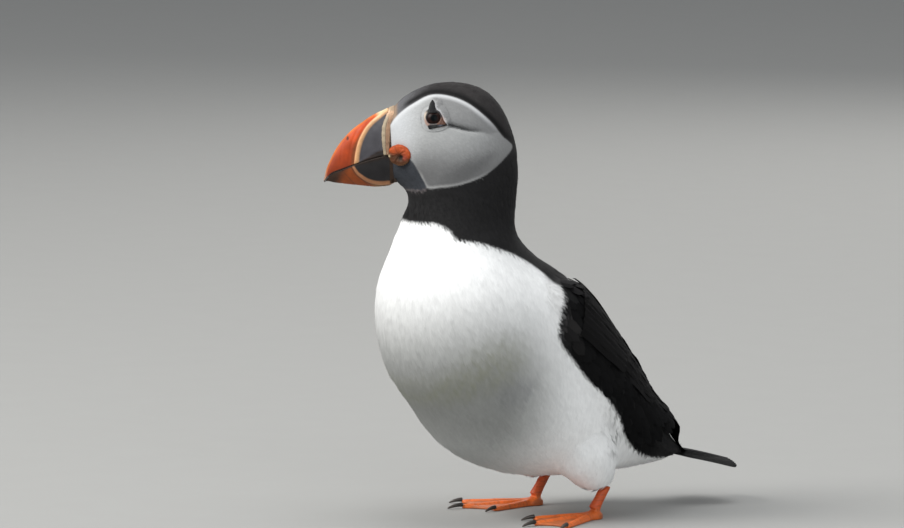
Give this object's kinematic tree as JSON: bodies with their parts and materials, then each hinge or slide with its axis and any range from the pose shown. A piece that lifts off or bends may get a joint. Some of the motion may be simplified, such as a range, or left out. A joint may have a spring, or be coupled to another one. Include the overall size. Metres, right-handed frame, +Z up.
{
  "type": "atlantic puffin",
  "caption": "Life-size standing atlantic puffin, black above and white below, with a tall banded orange bill and webbed orange feet, its head turned to its right.",
  "frame": {"origin": "on the floor, under the middle of the bird's bounding box", "axes": "+Z up from the soles to the crown, -Y the way the trunk faces, +X the bird's left side"},
  "size_m": [0.103, 0.202, 0.205],
  "materials": {
    "black_feathers": "matte",
    "white_feathers": "matte",
    "face_feathers": "matte",
    "dusky_feathers": "matte",
    "cere_horn": "satin",
    "bill_horn": "satin",
    "gape_skin": "satin",
    "eye_ball": "polished",
    "foot_skin": "satin",
    "claw_horn": "satin"
  },
  "bodies": {
    "root": {"back": "black_feathers", "belly": "white_feathers", "bill_lower": "bill_horn", "bill_upper": "bill_horn", "breast": "white_feathers", "cere": "cere_horn", "claw_left_1": "claw_horn", "claw_left_2": "claw_horn", "claw_left_3": "claw_horn", "claw_right_1": "claw_horn", "claw_right_2": "claw_horn", "claw_right_3": "claw_horn", "eye_left": "eye_ball", "eye_right": "eye_ball", "foot_left": "foot_skin", "foot_right": "foot_skin", "gape_left": "gape_skin", "gape_right": "gape_skin", "head": "face_feathers", "leg_left": "foot_skin", "leg_right": "foot_skin", "neck": "black_feathers", "primaries_left": "black_feathers", "primaries_right": "black_feathers", "rump": "black_feathers", "tail": "black_feathers", "thigh_left": "dusky_feathers", "thigh_right": "dusky_feathers", "wing_left": "black_feathers", "wing_right": "black_feathers"}
  },
  "joints": []
}
